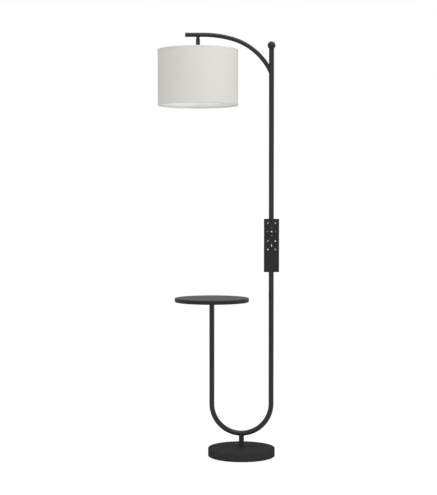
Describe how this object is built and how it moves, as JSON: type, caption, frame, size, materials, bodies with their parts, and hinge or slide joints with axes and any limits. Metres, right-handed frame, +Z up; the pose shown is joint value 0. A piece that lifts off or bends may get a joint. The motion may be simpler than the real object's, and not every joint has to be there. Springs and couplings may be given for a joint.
{
  "type": "floor lamp with table",
  "caption": "Floor lamp on a round base: a U of tube holds a round side table and a tall pole, whose curved arm hangs a fabric drum shade; a remote control clips to the pole.",
  "frame": {"origin": "middle of the round base's underside, on the floor", "axes": "+Z up along the pole, +X from the base towards the tall pole, -Y towards the front, where the remote control hangs"},
  "size_m": [0.4514, 0.3, 1.5805],
  "materials": {
    "powder_coat": "satin black powder coat",
    "cast_weight": "raw casting",
    "zinc_steel": "zinc plated",
    "floor_pad": "fine-celled foam rubber",
    "black_plastic": "moulded",
    "table_lacquer": "satin black lacquer on fibreboard",
    "ceramic": "glazed ceramic",
    "brass": "stamped sheet",
    "white_wire": "white coated wire",
    "shade_fabric": "woven off-white cloth on a stiff backing",
    "bulb_metal": "nickel plated",
    "bulb_collar": "white moulding",
    "bulb_diffuser": "frosted dome",
    "remote_plastic": "fine-textured moulding",
    "circuit_board": "solder mask",
    "membrane_rubber": "silicone",
    "cell_wrap": "plain shrink wrap",
    "contact_steel": "nickel plated spring steel",
    "key_plastic": "matt key caps"
  },
  "bodies": {
    "lamp": {"base_cover": "powder_coat", "base_neck": "powder_coat", "u_tube": "powder_coat", "table_flange": "powder_coat", "upper_pole": "powder_coat", "ball_finial": "powder_coat", "arm_tube": "powder_coat", "stem_boss": "powder_coat", "stem_sleeve": "powder_coat", "base_weight": "cast_weight", "base_plate": "zinc_steel", "plate_screws": "zinc_steel", "base_washer": "zinc_steel", "base_nut": "zinc_steel", "base_nipple": "zinc_steel", "neck_plug": "zinc_steel", "table_screws": "zinc_steel", "joint_socket": "zinc_steel", "joint_stud": "zinc_steel", "finial_plug": "zinc_steel", "stem_nipple": "zinc_steel", "clip_magnets": "zinc_steel", "base_pad": "floor_pad", "cord_bushing": "black_plastic", "arm_end_cap": "black_plastic", "holder_cap": "black_plastic", "holder_body": "black_plastic", "clamp_ring": "black_plastic", "clip_on_pole": "black_plastic", "table_top": "table_lacquer", "holder_core": "ceramic", "holder_contacts": "brass", "shade_spider": "white_wire", "shade_bottom_hoop": "white_wire", "shade_drum": "shade_fabric", "shade_trims": "shade_fabric"},
    "remote": {"remote_front": "remote_plastic", "remote_back": "remote_plastic", "remote_screws": "zinc_steel", "remote_board": "circuit_board", "keypad_membrane": "membrane_rubber", "strike_plate": "zinc_steel", "battery_cells": "cell_wrap", "battery_contacts": "contact_steel"},
    "battery_door": {"battery_door": "remote_plastic"},
    "bulb": {"bulb_cap": "bulb_metal", "bulb_body": "bulb_collar", "bulb_globe": "bulb_diffuser"},
    "key_power": {"key_power": "key_plastic"},
    "key_timer": {"key_timer": "key_plastic"},
    "key_up": {"key_up": "key_plastic"},
    "key_down": {"key_down": "key_plastic"},
    "key_left": {"key_left": "key_plastic"},
    "key_right": {"key_right": "key_plastic"},
    "key_ok": {"key_ok": "key_plastic"},
    "key_warm": {"key_warm": "key_plastic"},
    "key_cool": {"key_cool": "key_plastic"},
    "key_level": {"key_level": "key_plastic"},
    "key_night": {"key_night": "key_plastic"},
    "key_day": {"key_day": "key_plastic"}
  },
  "joints": [
    {"name": "remote_lift_off", "type": "slide", "parent": "lamp", "child": "remote", "axis": [0, -1, 0], "range_m": [0, 0.12]},
    {"name": "battery_door_slide", "type": "slide", "parent": "remote", "child": "battery_door", "axis": [0, 0, -1], "range_m": [0, 0.05]},
    {"name": "bulb_turn", "type": "hinge", "parent": "lamp", "child": "bulb", "pos_m": [-0.1624, 0, 1.44], "axis": [0, 0, -1], "range_deg": [0, 360]},
    {"name": "key_power_press", "type": "slide", "parent": "remote", "child": "key_power", "axis": [0, 1, 0], "range_m": [0, 0.0008], "stiffness_N_per_m": 1000, "springref_m": -0.0005},
    {"name": "key_timer_press", "type": "slide", "parent": "remote", "child": "key_timer", "axis": [0, 1, 0], "range_m": [0, 0.0008], "stiffness_N_per_m": 1000, "springref_m": -0.0005},
    {"name": "key_up_press", "type": "slide", "parent": "remote", "child": "key_up", "axis": [0, 1, 0], "range_m": [0, 0.0008], "stiffness_N_per_m": 1000, "springref_m": -0.0005},
    {"name": "key_down_press", "type": "slide", "parent": "remote", "child": "key_down", "axis": [0, 1, 0], "range_m": [0, 0.0008], "stiffness_N_per_m": 1000, "springref_m": -0.0005},
    {"name": "key_left_press", "type": "slide", "parent": "remote", "child": "key_left", "axis": [0, 1, 0], "range_m": [0, 0.0008], "stiffness_N_per_m": 1000, "springref_m": -0.0005},
    {"name": "key_right_press", "type": "slide", "parent": "remote", "child": "key_right", "axis": [0, 1, 0], "range_m": [0, 0.0008], "stiffness_N_per_m": 1000, "springref_m": -0.0005},
    {"name": "key_ok_press", "type": "slide", "parent": "remote", "child": "key_ok", "axis": [0, 1, 0], "range_m": [0, 0.0008], "stiffness_N_per_m": 1000, "springref_m": -0.0005},
    {"name": "key_warm_press", "type": "slide", "parent": "remote", "child": "key_warm", "axis": [0, 1, 0], "range_m": [0, 0.0008], "stiffness_N_per_m": 1000, "springref_m": -0.0005},
    {"name": "key_cool_press", "type": "slide", "parent": "remote", "child": "key_cool", "axis": [0, 1, 0], "range_m": [0, 0.0008], "stiffness_N_per_m": 1000, "springref_m": -0.0005},
    {"name": "key_level_press", "type": "slide", "parent": "remote", "child": "key_level", "axis": [0, 1, 0], "range_m": [0, 0.0008], "stiffness_N_per_m": 1000, "springref_m": -0.0005},
    {"name": "key_night_press", "type": "slide", "parent": "remote", "child": "key_night", "axis": [0, 1, 0], "range_m": [0, 0.0008], "stiffness_N_per_m": 1000, "springref_m": -0.0005},
    {"name": "key_day_press", "type": "slide", "parent": "remote", "child": "key_day", "axis": [0, 1, 0], "range_m": [0, 0.0008], "stiffness_N_per_m": 1000, "springref_m": -0.0005}
  ]
}
